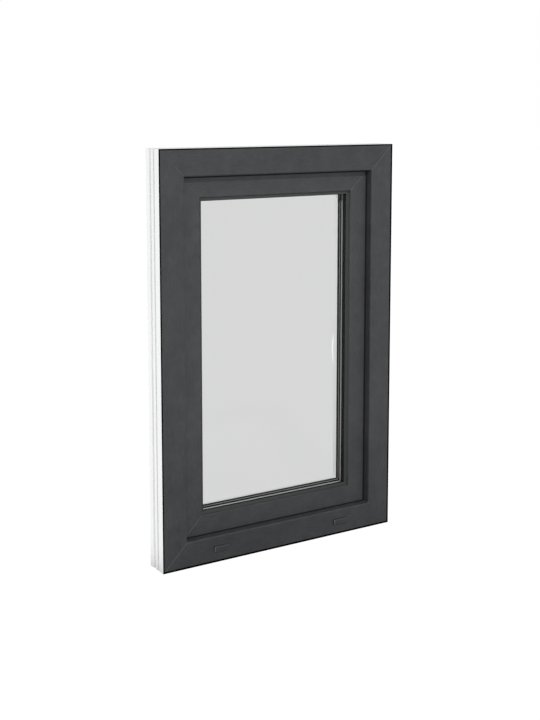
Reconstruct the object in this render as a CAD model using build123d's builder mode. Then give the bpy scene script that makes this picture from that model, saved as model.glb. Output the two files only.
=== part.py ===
from build123d import *
import os

os.makedirs("parts", exist_ok=True)

# ---------------------------------------------------------------------------
# Casement window, anthracite foil outside and white inside.
# Row frame, millimetres: X to the right and outside face towards -Y when seen
# from outside, Z up.  Origin: middle of the frame's bottom face.
#
# Every long member is one section, drawn as (o, d):
#   o  distance from the frame's outer edge towards the middle of the opening
#   d  distance behind the frame's outside face
# All members of all rings meet on the same four 45 degree mitre planes, which
# run through the frame's outer corners.
# ---------------------------------------------------------------------------

WIDTH = 700.0            # overall width of the frame
HEIGHT = 1050.0          # overall height of the frame
DEPTH = 70.0             # frame depth, outside face to room face

FOIL = 1.0               # thickness of the dark outside skin
FACE = 68.0              # width of the frame's outside face
STOP_O, STOP_D = 70.0, 18.0     # tip of the frame's outer rebate stop
REBATE_O = 48.0          # rebate wall of the frame
SASH_D = 21.0            # sash outside face
SASH_ROOM_D = 91.0       # sash room face
SASH_EDGE_O = 60.0       # sash edge inside the rebate
FLANGE_O = 40.0          # room flange of the sash, over the frame
FLANGE_D = 74.5
LIP_O = 121.2            # end of the sash's flat face
LIP_D = 24.8             # depth of the sash's lip, where the glazing gasket starts
STEP_O, STEP_D = 123.6, 27.2    # the gasket's step, start of its gentle slope
TIP_O, TIP_D = 130.0, 30.5      # end of the gasket's slope, at the glass
FLOOR_D = 30.9           # floor of the glazing rebate
GLAZE_O = 108.0          # glazing rebate wall of the sash
GLASS_O = 113.0          # edge of the glass unit
PANE = 4.0               # thickness of each pane
CAVITY = 16.0            # gas space between the panes
GLASS_D = 32.5           # outside face of the outer pane
BEAD_D = 57.0            # outside face of the beads

GROOVE_HALF = 1.0        # half width of the weld groove on the mitres
GROOVE_DEPTH = 0.5

HANDLE_X = WIDTH / 2 - 85.0     # handle spindle, on the stile's centre line
HANDLE_Z = HEIGHT / 2 + 10.0    # spindle height
HANDLE_TILT = 7.0        # lever's top end above the spindle
LEVER_W, LEVER_T = 21.0, 12.0   # lever section
LEVER_REACH = 46.0       # furthest point of the lever's centre line from sash
LEVER_END = 26.0         # centre line to sash face at both ends
LEVER_SPAN = 128.0       # between the ends of the centre line

CAP_X = 185.0            # drain cap centres, left and right of the middle
CAP_Z = 35.0
CAP_W, CAP_H, CAP_T = 42.0, 14.5, 5.5

HINGE_O = 31.5           # hinge axis
HINGE_D = 82.5
HINGE_R = 7.0            # barrel radius
PIN_R = 3.0

Y0 = -DEPTH / 2          # row y of d = 0
SASH_Y = SASH_ROOM_D + Y0
GLASS_IN_D = GLASS_D + 2 * PANE + CAVITY

# Section planes: local x is o, local y is d.
SECTION = {
    "bottom": Plane(origin=(0, Y0, 0), x_dir=(0, 0, 1), z_dir=(-1, 0, 0)),
    "top": Plane(origin=(0, Y0, HEIGHT), x_dir=(0, 0, -1), z_dir=(1, 0, 0)),
    "left": Plane(origin=(-WIDTH / 2, Y0, HEIGHT / 2), x_dir=(1, 0, 0), z_dir=(0, 0, 1)),
    "right": Plane(origin=(WIDTH / 2, Y0, HEIGHT / 2), x_dir=(-1, 0, 0), z_dir=(0, 0, -1)),
}

# Mitre outlines in elevation, (x, z), one trapezium for each side.
REACH = 160.0
W2 = WIDTH / 2
MITRE = {
    "bottom": [(-W2, 0), (W2, 0), (W2 - REACH, REACH), (-W2 + REACH, REACH)],
    "top": [(-W2, HEIGHT), (W2, HEIGHT), (W2 - REACH, HEIGHT - REACH), (-W2 + REACH, HEIGHT - REACH)],
    "left": [(-W2, 0), (-W2, HEIGHT), (-W2 + REACH, HEIGHT - REACH), (-W2 + REACH, REACH)],
    "right": [(W2, 0), (W2, HEIGHT), (W2 - REACH, HEIGHT - REACH), (W2 - REACH, REACH)],
}

# Elevation plane: local x is +X, local y is +Z, extruded both ways along Y.
ELEVATION = Plane(origin=(0, 0, 0), x_dir=(1, 0, 0), z_dir=(0, -1, 0))


def corner_planes(y):
    """Planes at the frame's four corners, looking along the mitre lines."""
    planes = []
    for sx, z, up in ((-1, 0, 1), (1, 0, 1), (-1, HEIGHT, -1), (1, HEIGHT, -1)):
        planes.append(Plane(origin=(sx * W2, y, z), x_dir=(up, 0, sx), z_dir=(-sx, 0, up)))
    return planes


# --------------------------------------------------------------- frame, core
FRAME_CORE = [
    (0, FOIL), (FACE - 0.9, FOIL), (STOP_O - 1.0, STOP_D), (REBATE_O + 2, STOP_D),
    (REBATE_O, STOP_D + 2), (REBATE_O, DEPTH - 2), (REBATE_O - 2, DEPTH), (0, DEPTH),
    (0, 51.5), (3, 52.0), (3, 41.0), (0, 41.5),
    (0, 31.0), (3, 31.5), (3, 24.0), (0, 24.5),
]
FRAME_NODES = {"bottom": "frame_sill", "top": "frame_head",
               "left": "frame_jamb_left", "right": "frame_jamb_right"}

for side, node in FRAME_NODES.items():
    with BuildPart() as frame_member:
        with BuildSketch(SECTION[side]):
            with BuildLine():
                FilletPolyline(*FRAME_CORE, radius=[0, 2.8] + [0] * (len(FRAME_CORE) - 2), close=True)
            make_face()
        extrude(amount=HEIGHT / 2, both=True)
        with BuildSketch(ELEVATION):
            with BuildLine():
                Polyline(*MITRE[side], close=True)
            make_face()
        extrude(amount=200, both=True, mode=Mode.INTERSECT)
        # weld groove on the room face
        with BuildSketch(*corner_planes(Y0 + DEPTH)):
            with BuildLine():
                Polyline((-GROOVE_HALF, 0.1), (GROOVE_HALF, 0.1), (0, -GROOVE_DEPTH), close=True)
            make_face()
        extrude(amount=200, mode=Mode.SUBTRACT)
    frame_member.part.label = node
    export_step(frame_member.part, f"parts/{node}.step")

# --------------------------------------------------------------- frame, foil
FRAME_FOIL = [
    (0, 0), (FACE, 0), (STOP_O, STOP_D), (STOP_O - 1.0, STOP_D), (FACE - 0.9, FOIL), (0, FOIL),
]
FRAME_FOIL_R = [0, 3.8, 0, 0, 2.8, 0]

for side, node in FRAME_NODES.items():
    with BuildPart() as frame_foil:
        with BuildSketch(SECTION[side]):
            with BuildLine():
                FilletPolyline(*FRAME_FOIL, radius=FRAME_FOIL_R, close=True)
            make_face()
        extrude(amount=HEIGHT / 2, both=True)
        with BuildSketch(ELEVATION):
            with BuildLine():
                Polyline(*MITRE[side], close=True)
            make_face()
        extrude(amount=200, both=True, mode=Mode.INTERSECT)
        with BuildSketch(*corner_planes(Y0)):
            with BuildLine():
                Polyline((-GROOVE_HALF, -0.1), (GROOVE_HALF, -0.1), (0, GROOVE_DEPTH), close=True)
            make_face()
        extrude(amount=200, mode=Mode.SUBTRACT)
    frame_foil.part.label = f"{node}_foil"
    export_step(frame_foil.part, f"parts/{node}_foil.step")

# ---------------------------------------------------------------- sash, core
SASH_CORE = [
    (SASH_EDGE_O, SASH_D + FOIL), (LIP_O - 0.8, SASH_D + FOIL), (LIP_O - 0.3, LIP_D), (LIP_O - 0.3, FLOOR_D),
    (GLAZE_O, FLOOR_D), (GLAZE_O, SASH_ROOM_D - 2), (GLAZE_O - 2, SASH_ROOM_D),
    (FLANGE_O + 2, SASH_ROOM_D), (FLANGE_O, SASH_ROOM_D - 2), (FLANGE_O, FLANGE_D + 1.5),
    (FLANGE_O + 1.5, FLANGE_D), (SASH_EDGE_O - 2, FLANGE_D), (SASH_EDGE_O, FLANGE_D - 2),
]
SASH_NODES = {"bottom": "sash_bottom_rail", "top": "sash_top_rail",
              "left": "sash_left_stile", "right": "sash_right_stile"}

for side, node in SASH_NODES.items():
    with BuildPart() as sash_member:
        with BuildSketch(SECTION[side]):
            with BuildLine():
                FilletPolyline(*SASH_CORE, radius=[0, 0.6] + [0] * (len(SASH_CORE) - 2), close=True)
            make_face()
        extrude(amount=HEIGHT / 2, both=True)
        with BuildSketch(ELEVATION):
            with BuildLine():
                Polyline(*MITRE[side], close=True)
            make_face()
        extrude(amount=200, both=True, mode=Mode.INTERSECT)
        with BuildSketch(*corner_planes(SASH_Y)):
            with BuildLine():
                Polyline((-GROOVE_HALF, 0.1), (GROOVE_HALF, 0.1), (0, -GROOVE_DEPTH), close=True)
            make_face()
        extrude(amount=200, mode=Mode.SUBTRACT)
    sash_member.part.label = node
    export_step(sash_member.part, f"parts/{node}.step")

# ---------------------------------------------------------------- sash, foil
SASH_FOIL = [
    (SASH_EDGE_O, SASH_D), (LIP_O, SASH_D), (LIP_O + 0.7, LIP_D), (LIP_O - 0.3, LIP_D),
    (LIP_O - 0.8, SASH_D + FOIL), (SASH_EDGE_O, SASH_D + FOIL),
]
SASH_FOIL_R = [0, 1.6, 0, 0, 0.6, 0]

for side, node in SASH_NODES.items():
    with BuildPart() as sash_foil:
        with BuildSketch(SECTION[side]):
            with BuildLine():
                FilletPolyline(*SASH_FOIL, radius=SASH_FOIL_R, close=True)
            make_face()
        extrude(amount=HEIGHT / 2, both=True)
        with BuildSketch(ELEVATION):
            with BuildLine():
                Polyline(*MITRE[side], close=True)
            make_face()
        extrude(amount=200, both=True, mode=Mode.INTERSECT)
        with BuildSketch(*corner_planes(Y0 + SASH_D)):
            with BuildLine():
                Polyline((-GROOVE_HALF, -0.1), (GROOVE_HALF, -0.1), (0, GROOVE_DEPTH), close=True)
            make_face()
        extrude(amount=200, mode=Mode.SUBTRACT)
    sash_foil.part.label = f"{node}_foil"
    export_step(sash_foil.part, f"parts/{node}_foil.step")

# -------------------------------------------------------------- glazing beads
BEAD = [
    (GLAZE_O, BEAD_D), (126.0, BEAD_D), (126.0, 59.5), (132.5, 59.5), (132.5, 62.3),
    (134.0, 62.3), (134.0, 64.5), (128.0, 86.0), (125.0, 89.0), (GLAZE_O, 89.0),
]
BEAD_R = [0, 0.6, 0, 0, 0, 0, 1.0, 2.0, 0.8, 0]

for side in SECTION:
    with BuildPart() as bead:
        with BuildSketch(SECTION[side]):
            with BuildLine():
                FilletPolyline(*BEAD, radius=BEAD_R, close=True)
            make_face()
        extrude(amount=HEIGHT / 2, both=True)
        with BuildSketch(ELEVATION):
            with BuildLine():
                Polyline(*MITRE[side], close=True)
            make_face()
        extrude(amount=200, both=True, mode=Mode.INTERSECT)
    bead.part.label = f"bead_{side}"
    export_step(bead.part, f"parts/bead_{side}.step")

# ----------------------------------------------------------------- glass unit
GLASS_PLANE = Plane(origin=(0, Y0 + GLASS_D, HEIGHT / 2), x_dir=(1, 0, 0), z_dir=(0, 1, 0))
GLASS_W = WIDTH - 2 * GLASS_O
GLASS_H = HEIGHT - 2 * GLASS_O

with BuildPart() as glass_pane_outer:
    with BuildSketch(GLASS_PLANE):
        Rectangle(GLASS_W, GLASS_H)
    extrude(amount=PANE)
glass_pane_outer.part.label = "glass_pane_outer"
export_step(glass_pane_outer.part, "parts/glass_pane_outer.step")

with BuildPart() as glass_pane_inner:
    with BuildSketch(GLASS_PLANE.offset(PANE + CAVITY)):
        Rectangle(GLASS_W, GLASS_H)
    extrude(amount=PANE)
glass_pane_inner.part.label = "glass_pane_inner"
export_step(glass_pane_inner.part, "parts/glass_pane_inner.step")

SEAL_W = 5.5             # dark sealant ring behind the spacer
SPACER_W = 5.8           # warm edge spacer

with BuildPart() as edge_seal:
    with BuildSketch(GLASS_PLANE.offset(PANE)):
        Rectangle(GLASS_W, GLASS_H)
        Rectangle(GLASS_W - 2 * SEAL_W, GLASS_H - 2 * SEAL_W, mode=Mode.SUBTRACT)
    extrude(amount=CAVITY)
edge_seal.part.label = "edge_seal"
export_step(edge_seal.part, "parts/edge_seal.step")

with BuildPart() as spacer_bar:
    with BuildSketch(GLASS_PLANE.offset(PANE)):
        Rectangle(GLASS_W - 2 * SEAL_W, GLASS_H - 2 * SEAL_W)
        Rectangle(GLASS_W - 2 * SEAL_W - 2 * SPACER_W, GLASS_H - 2 * SEAL_W - 2 * SPACER_W,
                  mode=Mode.SUBTRACT)
    extrude(amount=CAVITY)
spacer_bar.part.label = "spacer_bar"
export_step(spacer_bar.part, "parts/spacer_bar.step")

# ------------------------------------------------------------ rubber gaskets
# Each gasket is one ring: its section runs round a rectangle with mitred
# corners, starting in the middle of the bottom side.
GASKETS = {
    "outer_glazing_gasket": [(LIP_O - 0.3, LIP_D), (LIP_O + 1.2, LIP_D), (STEP_O, STEP_D), (TIP_O, TIP_D),
                             (129.6, 31.6), (128.6, GLASS_D), (116, GLASS_D), (116, FLOOR_D),
                             (LIP_O - 0.3, FLOOR_D)],
    "bead_gasket": [(126.0, 57.6), (128.2, 57.6), (128.8, GLASS_IN_D), (132.4, GLASS_IN_D), (133.0, 57.5),
                    (133.7, 58.2), (134.0, 59.2), (134.0, 62.3), (132.5, 62.3), (132.5, 59.5), (126.0, 59.5)],
    "frame_stop_gasket": [(62, STOP_D), (69.8, STOP_D), (72.0, 18.6), (73.0, 19.6), (72.6, SASH_D), (62, SASH_D)],
    "sash_gasket": [(41.6, DEPTH), (45.4, DEPTH), (46.2, 72.0), (45.0, FLANGE_D), (42.0, FLANGE_D)],
}

for node, section in GASKETS.items():
    run = section[0][0]
    with BuildPart() as gasket:
        with BuildLine() as path:
            Polyline((0, Y0, run), (W2 - run, Y0, run), (W2 - run, Y0, HEIGHT - run),
                     (-W2 + run, Y0, HEIGHT - run), (-W2 + run, Y0, run), (0, Y0, run))
        with BuildSketch(SECTION["bottom"]):
            with BuildLine():
                Polyline(*section, close=True)
            make_face()
        sweep(path=path.wires()[0], transition=Transition.RIGHT)
    gasket.part.label = node
    export_step(gasket.part, f"parts/{node}.step")

# --------------------------------------------------------------- drain covers
# Hooded covers over the drain slots, open at the bottom.
for side, sx in (("left", -1), ("right", 1)):
    with BuildPart() as drain_cap:
        with BuildSketch(Plane(origin=(sx * CAP_X, Y0, CAP_Z), x_dir=(1, 0, 0), z_dir=(0, -1, 0))):
            RectangleRounded(CAP_W, CAP_H, 3.0)
        extrude(amount=CAP_T)
        chamfer(drain_cap.faces().sort_by(Axis.Y)[0].edges(), length=2.0)
        with BuildSketch(Plane(origin=(sx * CAP_X, Y0 - 1.9, CAP_Z - CAP_H / 2), x_dir=(1, 0, 0), z_dir=(0, 0, 1))):
            Rectangle(30, 1.8)
        extrude(amount=9.0, mode=Mode.SUBTRACT)
    drain_cap.part.label = f"drain_cap_{side}"
    export_step(drain_cap.part, f"parts/drain_cap_{side}.step")

# --------------------------------------------------------------------- handle
with BuildPart() as handle_rosette:
    with BuildSketch(Plane(origin=(HANDLE_X, SASH_Y, HANDLE_Z), x_dir=(1, 0, 0), z_dir=(0, 1, 0))):
        RectangleRounded(31, 70, 6)
    extrude(amount=11)
    fillet(handle_rosette.faces().sort_by(Axis.Y)[-1].edges(), radius=3)
handle_rosette.part.label = "handle_rosette"
export_step(handle_rosette.part, "parts/handle_rosette.step")

TOP_Z = HANDLE_Z + HANDLE_TILT
with BuildPart() as handle_lever:
    with BuildLine() as bow:
        ThreePointArc((HANDLE_X, SASH_Y + LEVER_END, TOP_Z),
                      (HANDLE_X, SASH_Y + LEVER_REACH, TOP_Z - LEVER_SPAN / 2),
                      (HANDLE_X, SASH_Y + LEVER_END, TOP_Z - LEVER_SPAN))
    with BuildSketch(Plane(origin=bow.line @ 0, x_dir=(1, 0, 0), z_dir=bow.line % 0)):
        RectangleRounded(LEVER_W, LEVER_T, 4.0)
    sweep(path=bow.line)
    fillet(handle_lever.faces().sort_by(Axis.Z)[0].edges(), radius=3.5)
    fillet(handle_lever.faces().sort_by(Axis.Z)[-1].edges(), radius=3.5)
    # neck, from the rosette into the lever's root
    with BuildSketch(Plane(origin=(HANDLE_X, SASH_Y + 11, HANDLE_Z), x_dir=(1, 0, 0), z_dir=(0, 1, 0))):
        Circle(7)
    extrude(amount=17)
handle_lever.part.label = "handle_lever"
export_step(handle_lever.part, "parts/handle_lever.step")

# --------------------------------------------------------------------- hinges
# Room side, left stile.  The lower hinge carries the sash, the upper one is
# the stay's bearing.  Each has a frame half, a sash half and a pin.
AXIS_X = -W2 + HINGE_O
AXIS_Y = Y0 + HINGE_D
FRAME_Y = Y0 + DEPTH

HINGES = {
    # name: (frame half z range, sash half z range, pin z range)
    "hinge_bottom": ((44.0, 70.0), (70.5, 112.0), (40.5, 114.5)),
    "hinge_top": ((952.0, 992.0), (922.0, 951.5), (918.5, 995.5)),
}

for name, (frame_z, sash_z, pin_z) in HINGES.items():
    with BuildPart() as hinge_frame_half:
        # barrel, plate on the frame's room face, and the web between them
        with BuildSketch(Plane.XY.offset(frame_z[0])):
            with Locations((AXIS_X, AXIS_Y)):
                Circle(HINGE_R)
            with Locations((AXIS_X, (FRAME_Y + AXIS_Y) / 2)):
                Rectangle(9.0, AXIS_Y - FRAME_Y)
            with Locations((AXIS_X - 2.0, FRAME_Y + 1.5)):
                Rectangle(21.0, 3.0)
            with Locations((AXIS_X, AXIS_Y)):
                Circle(PIN_R, mode=Mode.SUBTRACT)
        extrude(amount=frame_z[1] - frame_z[0])
    hinge_frame_half.part.label = f"{name}_frame_half"
    export_step(hinge_frame_half.part, f"parts/{name}_frame_half.step")

    with BuildPart() as hinge_sash_half:
        # barrel and the wing that wraps onto the sash's room face
        with BuildSketch(Plane.XY.offset(sash_z[0])):
            with Locations((AXIS_X, AXIS_Y)):
                Circle(HINGE_R)
            with BuildLine():
                Polyline((AXIS_X - 4, AXIS_Y + 3), (AXIS_X - 1, SASH_Y + 3.2), (AXIS_X + 28, SASH_Y + 3.2),
                         (AXIS_X + 28, SASH_Y), (AXIS_X + 8.5, SASH_Y), (AXIS_X + 5, AXIS_Y), close=True)
            make_face()
            with Locations((AXIS_X, AXIS_Y)):
                Circle(PIN_R, mode=Mode.SUBTRACT)
        extrude(amount=sash_z[1] - sash_z[0])
    hinge_sash_half.part.label = f"{name}_sash_half"
    export_step(hinge_sash_half.part, f"parts/{name}_sash_half.step")

    with BuildPart() as hinge_pin:
        with BuildSketch(Plane.XY.offset(pin_z[0])):
            with Locations((AXIS_X, AXIS_Y)):
                Circle(PIN_R)
        extrude(amount=pin_z[1] - pin_z[0])
        chamfer(hinge_pin.edges().filter_by(GeomType.CIRCLE), length=0.6)
    hinge_pin.part.label = f"{name}_pin"
    export_step(hinge_pin.part, f"parts/{name}_pin.step")
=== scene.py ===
import math

import bpy
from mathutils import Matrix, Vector

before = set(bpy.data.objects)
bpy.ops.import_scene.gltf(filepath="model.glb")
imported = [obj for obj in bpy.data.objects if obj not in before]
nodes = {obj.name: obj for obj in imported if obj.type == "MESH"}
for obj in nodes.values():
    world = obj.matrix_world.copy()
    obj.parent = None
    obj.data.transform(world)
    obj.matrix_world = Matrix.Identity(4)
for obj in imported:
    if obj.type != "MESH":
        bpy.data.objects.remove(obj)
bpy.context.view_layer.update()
scene = bpy.context.scene
scene.view_settings.view_transform = "Standard"
scene.view_settings.look = "None"

# Frame outline in metres: the mitre lines of every ring start at its corners.
HALF_W, HEIGHT = 0.35, 1.05


# ------------------------------------------------------------------ materials
class Tree:
    """A material with short calls for its nodes."""

    def __init__(self, name):
        self.mat = bpy.data.materials.new(name)
        self.mat.use_nodes = True
        self.nt = self.mat.node_tree
        self.nt.nodes.clear()
        self.out = self.nt.nodes.new("ShaderNodeOutputMaterial")

    def add(self, kind, **values):
        n = self.nt.nodes.new("ShaderNode" + kind)
        for key, value in values.items():
            setattr(n, key, value)
        return n

    def link(self, a, b):
        self.nt.links.new(a, b)

    def coords(self, scale=(1, 1, 1)):
        c = self.add("TexCoord")
        m = self.add("Mapping")
        m.inputs["Scale"].default_value = scale
        self.link(c.outputs["Object"], m.inputs["Vector"])
        return m.outputs["Vector"]

    def noise(self, vector, scale, detail=2.0, rough=0.5, distortion=0.0):
        n = self.add("TexNoise")
        n.inputs["Scale"].default_value = scale
        n.inputs["Detail"].default_value = detail
        n.inputs["Roughness"].default_value = rough
        n.inputs["Distortion"].default_value = distortion
        self.link(vector, n.inputs["Vector"])
        return n.outputs["Fac"]

    def math(self, op, a, b=None):
        n = self.add("Math", operation=op)
        for i, v in enumerate((a, b)):
            if v is None:
                continue
            if isinstance(v, (int, float)):
                n.inputs[i].default_value = v
            else:
                self.link(v, n.inputs[i])
        return n.outputs[0]

    def span(self, value, a, b, c, d, smooth=False):
        n = self.add("MapRange")
        if smooth:
            n.interpolation_type = "SMOOTHSTEP"
        for i, v in zip((1, 2, 3, 4), (a, b, c, d)):
            n.inputs[i].default_value = v
        self.link(value, n.inputs[0])
        return n.outputs[0]

    def ramp(self, fac, *stops):
        n = self.add("ValToRGB")
        e = n.color_ramp.elements
        while len(e) < len(stops):
            e.new(0.5)
        for el, (p, c) in zip(e, stops):
            el.position = p
            el.color = (*c, 1)
        self.link(fac, n.inputs[0])
        return n.outputs[0]

    def mix(self, fac, a, b, kind="MIX"):
        n = self.add("Mix", data_type="RGBA", blend_type=kind)
        for socket, v in ((n.inputs[0], fac), (n.inputs[6], a), (n.inputs[7], b)):
            if isinstance(v, (int, float)):
                socket.default_value = v
            elif isinstance(v, tuple):
                socket.default_value = (*v, 1)
            else:
                self.link(v, socket)
        return n.outputs[2]

    def bump(self, height, distance, strength=1.0, normal=None):
        n = self.add("Bump")
        n.inputs["Strength"].default_value = strength
        n.inputs["Distance"].default_value = distance
        self.link(height, n.inputs["Height"])
        if normal is not None:
            self.link(normal, n.inputs["Normal"])
        return n.outputs[0]

    def principled(self, **values):
        p = self.add("BsdfPrincipled")
        for key, value in values.items():
            socket = p.inputs[key]
            if isinstance(value, (int, float)):
                socket.default_value = value
            elif isinstance(value, tuple):
                socket.default_value = (*value, 1) if len(value) == 3 else value
            else:
                self.link(value, socket)
        self.link(p.outputs[0], self.out.inputs["Surface"])
        return p


def edge_distances(t):
    """Distances from the frame's outer edge: to the sides and to the ends."""
    sep = t.add("SeparateXYZ")
    t.link(t.add("TexCoord").outputs["Object"], sep.inputs[0])
    side = t.math("SUBTRACT", HALF_W, t.math("ABSOLUTE", sep.outputs[0]))
    from_mid = t.math("ABSOLUTE", t.math("SUBTRACT", sep.outputs[2], HEIGHT / 2))
    return side, t.math("SUBTRACT", HEIGHT / 2, from_mid)


def mitre_line(t, half):
    """1 on the weld lines that run at 45 degrees from the frame's corners."""
    gap = t.math("ABSOLUTE", t.math("SUBTRACT", *edge_distances(t)))
    return t.span(gap, half * 0.5, half * 1.7, 1.0, 0.0, smooth=True)


def ring_band(t, low, high, soft=0.0002):
    """1 on a rectangular ring between two distances from the frame's outer edge."""
    inward = t.math("MINIMUM", *edge_distances(t))
    return t.math("MULTIPLY", t.span(inward, low - soft, low + soft, 0, 1),
                  t.span(inward, high - soft, high + soft, 1, 0))


def foil(name, run, painted_light_gain=1.0):
    """Dark laminate with a fine sanded grain that runs along the member."""
    t = Tree(name)
    along = {"x": (0.14, 1, 1), "z": (1, 1, 0.14)}[run]
    grain_v = t.coords(along)
    plain_v = t.coords()
    streak = t.noise(grain_v, 420, detail=4, rough=0.6, distortion=0.4)
    fleck = t.noise(plain_v, 1500, detail=2, rough=0.7)
    cloud = t.noise(plain_v, 26, detail=3, rough=0.55)
    patch = t.noise(plain_v, 7, detail=1)
    tone = t.math("ADD", t.math("MULTIPLY", streak, 0.40),
                  t.math("ADD", t.math("MULTIPLY", fleck, 0.18),
                         t.math("ADD", t.math("MULTIPLY", cloud, 0.27), t.math("MULTIPLY", patch, 0.15))))
    stops = ((0.34, (0.0236, 0.0248, 0.0270)), (0.50, (0.0365, 0.0379, 0.0408)), (0.66, (0.0530, 0.0548, 0.0586)))
    colour = t.ramp(tone, *((p, tuple(painted_light_gain * v for v in c)) for p, c in stops))
    sep = t.add("SeparateXYZ")
    t.link(t.add("TexCoord").outputs["Object"], sep.inputs[0])
    # the welds show paler at the upper corners
    seam = t.math("MULTIPLY", mitre_line(t, 0.0013), t.span(sep.outputs[2], 0.25, 0.85, 0.50, 0.95))
    colour = t.mix(seam, colour, (0.064, 0.065, 0.068))
    # painted shade: the laminate's outer edge is painted near black and matt, wider along the right side and the
    # bottom
    rim = ring_band(t, -0.01, 0.0033, 0.0005)
    for reach in (t.math("SUBTRACT", HALF_W, sep.outputs[0]), sep.outputs[2]):
        rim = t.math("MAXIMUM", rim, t.span(reach, 0.0047, 0.0055, 1, 0))
    colour = t.mix(rim, colour, (0.0015, 0.0015, 0.0015))
    rough = t.math("MAXIMUM", t.span(streak, 0.3, 0.7, 0.46, 0.58), rim)
    pores = t.span(t.noise(grain_v, 700, detail=3, rough=0.65, distortion=0.8), 0.38, 0.56, 0.0, 1.0)
    height = t.math("ADD", t.math("MULTIPLY", pores, 0.6), t.math("MULTIPLY", fleck, 0.4))
    normal = t.bump(height, 0.00016, 0.7)
    t.principled(**{"Base Color": colour, "Roughness": rough, "Normal": normal,
                    "Specular IOR Level": t.span(rim, 0, 1, 0.42, 0.0)})
    return t.mat


def white_pvc(name, tint=(0.752, 0.758, 0.756), run="z", lip=None):
    """Extruded white plastic: faint die lines along the member, small welds at the mitres."""
    t = Tree(name)
    along = {"x": (0.01, 1, 1), "z": (1, 1, 0.01)}[run]
    lines = t.noise(t.coords(along), 900, detail=2, rough=0.6)
    cloud = t.noise(t.coords(), 9, detail=2)
    low = tuple(c * 0.975 for c in tint)
    colour = t.ramp(cloud, (0.3, low), (0.7, tint))
    seam = mitre_line(t, 0.0008)
    colour = t.mix(t.math("MULTIPLY", seam, 0.5), colour, tuple(c * 0.86 for c in tint))
    if lip is not None:
        # a black foot of the sealing lip is pressed against the glass beside it
        sep = t.add("SeparateXYZ")
        t.link(t.add("TexCoord").outputs["Object"], sep.inputs[0])
        foot = t.math("MULTIPLY", ring_band(t, lip, 0.1264), t.span(sep.outputs[1], 0.0228, 0.0234, 1, 0))
        colour = t.mix(t.math("MULTIPLY", foot, 0.97), colour, (0.006, 0.006, 0.006))
    rough = t.span(t.noise(t.coords(), 60, detail=3), 0.3, 0.7, 0.34, 0.42)
    normal = t.bump(lines, 0.00004, 0.5)
    t.principled(**{"Base Color": colour, "Roughness": rough, "Normal": normal})
    return t.mat


def rubber(name, base, shine=0.35, painted_top_light=None):
    t = Tree(name)
    dust = t.noise(t.coords(), 320, detail=3, rough=0.7)
    colour = t.ramp(dust, (0.35, tuple(c * 0.75 for c in base)), (0.75, tuple(c * 1.35 for c in base)))
    if painted_top_light is not None:
        # painted light: the slope under the top rail, which faces down to the bright floor, is painted paler than
        # on the other three sides
        side, ends = edge_distances(t)
        place = t.add("SeparateXYZ")
        t.link(t.add("TexCoord").outputs["Object"], place.inputs[0])
        top = t.math("MULTIPLY", t.span(t.math("SUBTRACT", side, ends), 0.0, 0.0015, 0, 1),
                     t.span(place.outputs[2], 0.5, 0.6, 0, 1))
        colour = t.mix(t.math("MULTIPLY", top, ring_band(t, 0.1239, 0.1303)), colour, painted_top_light)
    normal = t.bump(t.noise(t.coords(), 2600, detail=1), 0.00005, 0.4)
    t.principled(**{"Base Color": colour, "Roughness": t.span(dust, 0.3, 0.7, 0.55, 0.7), "Normal": normal,
                    "Specular IOR Level": shine})
    return t.mat


def striped_rubber(name, base, stripe, low, high):
    """Black rubber with a paler band along it, at a set distance from the frame's outer edge."""
    t = Tree(name)
    dust = t.noise(t.coords(), 320, detail=3, rough=0.7)
    colour = t.mix(ring_band(t, low, high), base, stripe)
    colour = t.mix(t.span(dust, 0.35, 0.75, 0.0, 0.25), colour, (0.0, 0.0, 0.0))
    normal = t.bump(t.noise(t.coords(), 2600, detail=1), 0.00005, 0.4)
    t.principled(**{"Base Color": colour, "Roughness": 0.6, "Normal": normal, "Specular IOR Level": 0.12})
    return t.mat


def coated(name, base, rough=(0.2, 0.28)):
    """Powder coated metal, white, with a very slight orange peel."""
    t = Tree(name)
    peel = t.noise(t.coords(), 650, detail=1, rough=0.4)
    cloud = t.noise(t.coords(), 45, detail=2)
    colour = t.ramp(cloud, (0.3, tuple(c * 0.98 for c in base)), (0.7, base))
    # painted shade: the faces turned outwards, to the glass, are painted greyer for the shade they sit in
    facing = t.add("SeparateXYZ")
    t.link(t.add("NewGeometry").outputs["True Normal"], facing.inputs[0])
    colour = t.mix(t.span(facing.outputs[1], -0.90, -0.45, 0.45, 0.0), colour, (0.40, 0.40, 0.40))
    t.principled(**{"Base Color": colour, "Roughness": t.span(cloud, 0.3, 0.7, *rough),
                    "Normal": t.bump(peel, 0.00005, 0.35), "Coat Weight": 0.25, "Coat Roughness": 0.12})
    return t.mat


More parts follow.
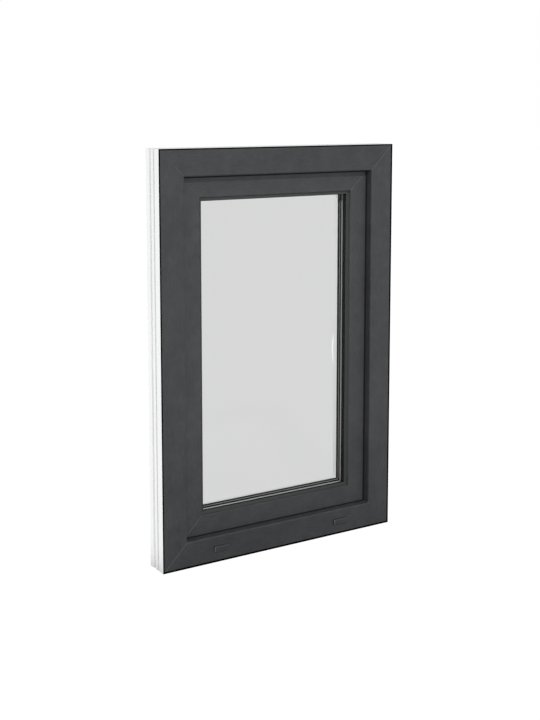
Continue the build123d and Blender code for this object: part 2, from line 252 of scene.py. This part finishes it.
def moulded(name):
    """Moulded dark plastic of the drain covers, with painted shade on the walls next to the frame."""
    t = Tree(name)
    fine = t.noise(t.coords(), 1800, detail=2, rough=0.6)
    cloud = t.noise(t.coords(), 60, detail=2)
    colour = t.ramp(cloud, (0.3, (0.034, 0.035, 0.0375)), (0.7, (0.041, 0.0425, 0.045)))
    sep = t.add("SeparateXYZ")
    t.link(t.add("TexCoord").outputs["Object"], sep.inputs[0])
    # painted shade: the cover's walls next to the frame face are painted near black
    colour = t.mix(t.span(sep.outputs[1], -0.0388, -0.0381, 0.0, 0.9), colour, (0.004, 0.004, 0.004))
    # painted highlight: the chamfer round the cover is painted paler than its face, less so on top
    facing = t.add("SeparateXYZ")
    t.link(t.add("NewGeometry").outputs["True Normal"], facing.inputs[0])
    level = t.math("ABSOLUTE", facing.outputs[1])
    chamfer_highlight = t.math("MULTIPLY", t.span(level, 0.30, 0.45, 0, 1), t.span(level, 0.85, 0.97, 1, 0))
    chamfer_highlight = t.math("MULTIPLY", chamfer_highlight, t.span(facing.outputs[2], 0.3, 0.6, 0.8, 0.12))
    colour = t.mix(chamfer_highlight, colour, (0.115, 0.117, 0.120))
    t.principled(**{"Base Color": colour, "Roughness": t.span(fine, 0.3, 0.7, 0.26, 0.33),
                    "Normal": t.bump(fine, 0.00006, 0.5)})
    return t.mat


def zinc(name):
    t = Tree(name)
    brush = t.noise(t.coords((1, 1, 0.05)), 900, detail=3)
    colour = t.ramp(brush, (0.3, (0.52, 0.52, 0.50)), (0.7, (0.66, 0.66, 0.64)))
    t.principled(**{"Base Color": colour, "Metallic": 1.0, "Roughness": t.span(brush, 0.3, 0.7, 0.28, 0.42)})
    return t.mat


def glass(name, tint):
    """Clear float glass: what is behind shows straight through, tinted once a surface."""
    t = Tree(name)
    clear = t.add("BsdfTransparent")
    clear.inputs["Color"].default_value = (*tint, 1)
    mirror = t.add("BsdfGlossy")
    mirror.inputs["Color"].default_value = (1, 1, 1, 1)
    mirror.inputs["Roughness"].default_value = 0.0
    fresnel = t.add("Fresnel")
    fresnel.inputs["IOR"].default_value = 1.5
    geometry = t.add("NewGeometry")
    front = t.math("SUBTRACT", 1.0, geometry.outputs["Backfacing"])
    share = t.math("MULTIPLY", t.math("MULTIPLY", fresnel.outputs[0], front), 0.20)
    mix = t.add("MixShader")
    t.link(share, mix.inputs[0])
    t.link(clear.outputs[0], mix.inputs[1])
    t.link(mirror.outputs[0], mix.inputs[2])
    t.link(mix.outputs[0], t.out.inputs["Surface"])
    return t.mat


FOIL_X, FOIL_Z = foil("foil_rails", "x"), foil("foil_stiles", "z")
# painted light: the sash's foil is the frame's foil made 10 % brighter, offsetting the shade under the frame's
# lip
SASH_FOIL_X, SASH_FOIL_Z = foil("sash_foil_rails", "x", 1.10), foil("sash_foil_stiles", "z", 1.10)
PVC_X, PVC_Z = white_pvc("pvc_rails", run="x"), white_pvc("pvc_stiles", run="z")
# painted shade: the glazing beads take a greyer copy of the white PVC, for their place in the recess behind the
# glass
BEAD_SHADED_TINT = (0.690, 0.696, 0.694)
BEAD_X, BEAD_Z = (white_pvc("bead_rails", BEAD_SHADED_TINT, "x", lip=0.1255),
                  white_pvc("bead_stiles", BEAD_SHADED_TINT, "z", lip=0.1249))
GASKET = rubber("gasket_rubber", (0.006, 0.006, 0.007), 0.15)
# the glazing rubber gets painted light on the slope under the top rail
GLAZING = rubber("glazing_rubber", (0.0325, 0.0348, 0.0330), painted_top_light=(0.060, 0.0625, 0.062))
BEAD_SEAL = striped_rubber("bead_rubber", (0.006, 0.006, 0.006), (0.31, 0.315, 0.31), 0.1299, 0.1321)
SEAL = rubber("edge_sealant", (0.008, 0.008, 0.009), 0.1)
SPACER = rubber("warm_edge_spacer", (0.004, 0.004, 0.004), 0.1)
HANDLE = coated("handle_coating", (0.95, 0.95, 0.945))
HINGE = coated("hinge_coating", (0.85, 0.855, 0.85), rough=(0.26, 0.34))
PIN = zinc("pin_zinc")
CAP = moulded("drain_cover_plastic")
GLASS = glass("float_glass", (0.9752, 0.9766, 0.9760))

RAILS = ("sill", "head", "rail", "bead_top", "bead_bottom")


def material_for(node):
    rail = any(word in node for word in RAILS)
    if node.endswith("_foil"):
        if node.startswith("sash"):
            return SASH_FOIL_X if rail else SASH_FOIL_Z
        return FOIL_X if rail else FOIL_Z
    if node.startswith("glass_pane"):
        return GLASS
    if node == "outer_glazing_gasket":
        return GLAZING
    if node == "bead_gasket":
        return BEAD_SEAL
    if "gasket" in node:
        return GASKET
    if node.startswith("bead_"):
        return BEAD_X if rail else BEAD_Z
    if node == "edge_seal":
        return SEAL
    if node == "spacer_bar":
        return SPACER
    if node.startswith("handle"):
        return HANDLE
    if node.endswith("_pin"):
        return PIN
    if node.startswith("hinge"):
        return HINGE
    if node.startswith("drain_cap"):
        return CAP
    return PVC_X if rail else PVC_Z


for node, obj in nodes.items():
    for slot in obj.material_slots:
        slot.material = material_for(node)


# ---------------------------------------------------------------------- stage
bpy.ops.mesh.primitive_plane_add(size=40, location=(0, 0, 0))
floor = bpy.context.object
floor.name = "floor"
t = Tree("pale_floor")
path = t.add("LightPath")
glow = t.add("Emission")
glow.inputs["Color"].default_value = (1, 1, 1, 1)
far = t.add("VectorMath", operation="LENGTH")
t.link(t.coords(), far.inputs[0])
bounce = t.span(far.outputs["Value"], 0.10, 1.15, 0.235, 0.80, smooth=True)
# more light comes back from the floor beside the white end than in front
place = t.add("SeparateXYZ")
t.link(t.add("TexCoord").outputs["Object"], place.inputs[0])
beside = t.math("MULTIPLY", t.span(place.outputs[0], -0.42, -0.35, 1, 0, smooth=True),
                t.span(place.outputs[1], -0.20, -0.04, 0, 1, smooth=True))
bounce = t.math("MAXIMUM", bounce, t.math("MULTIPLY", beside, 1.1))
# the backdrop is greyer behind the glass than beside the window
behind = t.math("MINIMUM", path.outputs["Transparent Depth"], 1.0)
seen = t.math("MULTIPLY", path.outputs["Is Camera Ray"], t.span(behind, 0, 1, 1.0, 0.717))
unseen = t.math("MULTIPLY", t.math("SUBTRACT", 1.0, path.outputs["Is Camera Ray"]), bounce)
t.link(t.math("ADD", seen, unseen), glow.inputs["Strength"])
dull = t.add("BsdfDiffuse")
dull.inputs["Color"].default_value = (0.03, 0.03, 0.03, 1)
both = t.add("AddShader")
t.link(glow.outputs[0], both.inputs[0])
t.link(dull.outputs[0], both.inputs[1])
t.link(both.outputs[0], t.out.inputs["Surface"])
floor.data.materials.append(t.mat)

world = bpy.data.worlds.new("studio")
scene.world = world
world.use_nodes = True
wt = world.node_tree
wt.nodes.clear()
wout = wt.nodes.new("ShaderNodeOutputWorld")
wbg = wt.nodes.new("ShaderNodeBackground")
wbg.inputs["Color"].default_value = (1, 1, 1, 1)
wlp = wt.nodes.new("ShaderNodeLightPath")
wdepth = wt.nodes.new("ShaderNodeMapRange")      # clear view 1.0, through glass 0.757
wdepth.inputs[3].default_value = 1.0
wdepth.inputs[4].default_value = 0.757
wt.links.new(wlp.outputs["Transparent Depth"], wdepth.inputs[0])
wmr = wt.nodes.new("ShaderNodeMapRange")
wmr.inputs[3].default_value = 0.58
wt.links.new(wlp.outputs["Is Camera Ray"], wmr.inputs[0])
wt.links.new(wdepth.outputs[0], wmr.inputs[4])
wt.links.new(wmr.outputs[0], wbg.inputs["Strength"])
wt.links.new(wbg.outputs[0], wout.inputs["Surface"])



def sun(name, azimuth, elevation, energy, spread):
    """A distant lamp. Azimuth is from the window's outward normal, + to the right."""
    az, el = math.radians(azimuth), math.radians(elevation)
    towards = Vector((math.sin(az) * math.cos(el), -math.cos(az) * math.cos(el), math.sin(el)))
    data = bpy.data.lights.new(name, "SUN")
    data.energy = energy
    data.angle = math.radians(spread)
    lamp = bpy.data.objects.new(name, data)
    lamp.rotation_euler = towards.to_track_quat("Z", "Y").to_euler()
    scene.collection.objects.link(lamp)
    return lamp


sun("key", -20, 38, 1.52, 2)
sun("fill", 12, 8, 0.25, 25)
sun("side", -128, 22, 1.28, 25)

# a narrow lamp from the left on the room side picks out the handle's edge
spot = bpy.data.lights.new("handle_spot", "SPOT")
spot.energy = 19
spot.spot_size = math.radians(7.6)
spot.spot_blend = 0.15
spot.shadow_soft_size = 0.02
lamp = bpy.data.objects.new("handle_spot", spot)
lamp.location = (-1.5, 0.45, 0.62)
aim = Vector((0.265, 0.187, 0.478)) - lamp.location
lamp.rotation_euler = aim.to_track_quat("-Z", "Y").to_euler()
scene.collection.objects.link(lamp)

# --------------------------------------------------------------------- camera
cam_data = bpy.data.cameras.new("camera")
cam_data.sensor_width = 36
cam_data.lens = 59.544
cam_data.shift_y = -0.15
cam_data.clip_end = 100
camera = bpy.data.objects.new("camera", cam_data)
camera.location = (-1.6369, -2.5668, 1.1543)
yaw, pitch = math.radians(32.273), math.radians(-7.052)
look = Vector((math.sin(yaw) * math.cos(pitch), math.cos(yaw) * math.cos(pitch), math.sin(pitch)))
camera.rotation_euler = look.to_track_quat("-Z", "Y").to_euler()
scene.collection.objects.link(camera)
scene.camera = camera
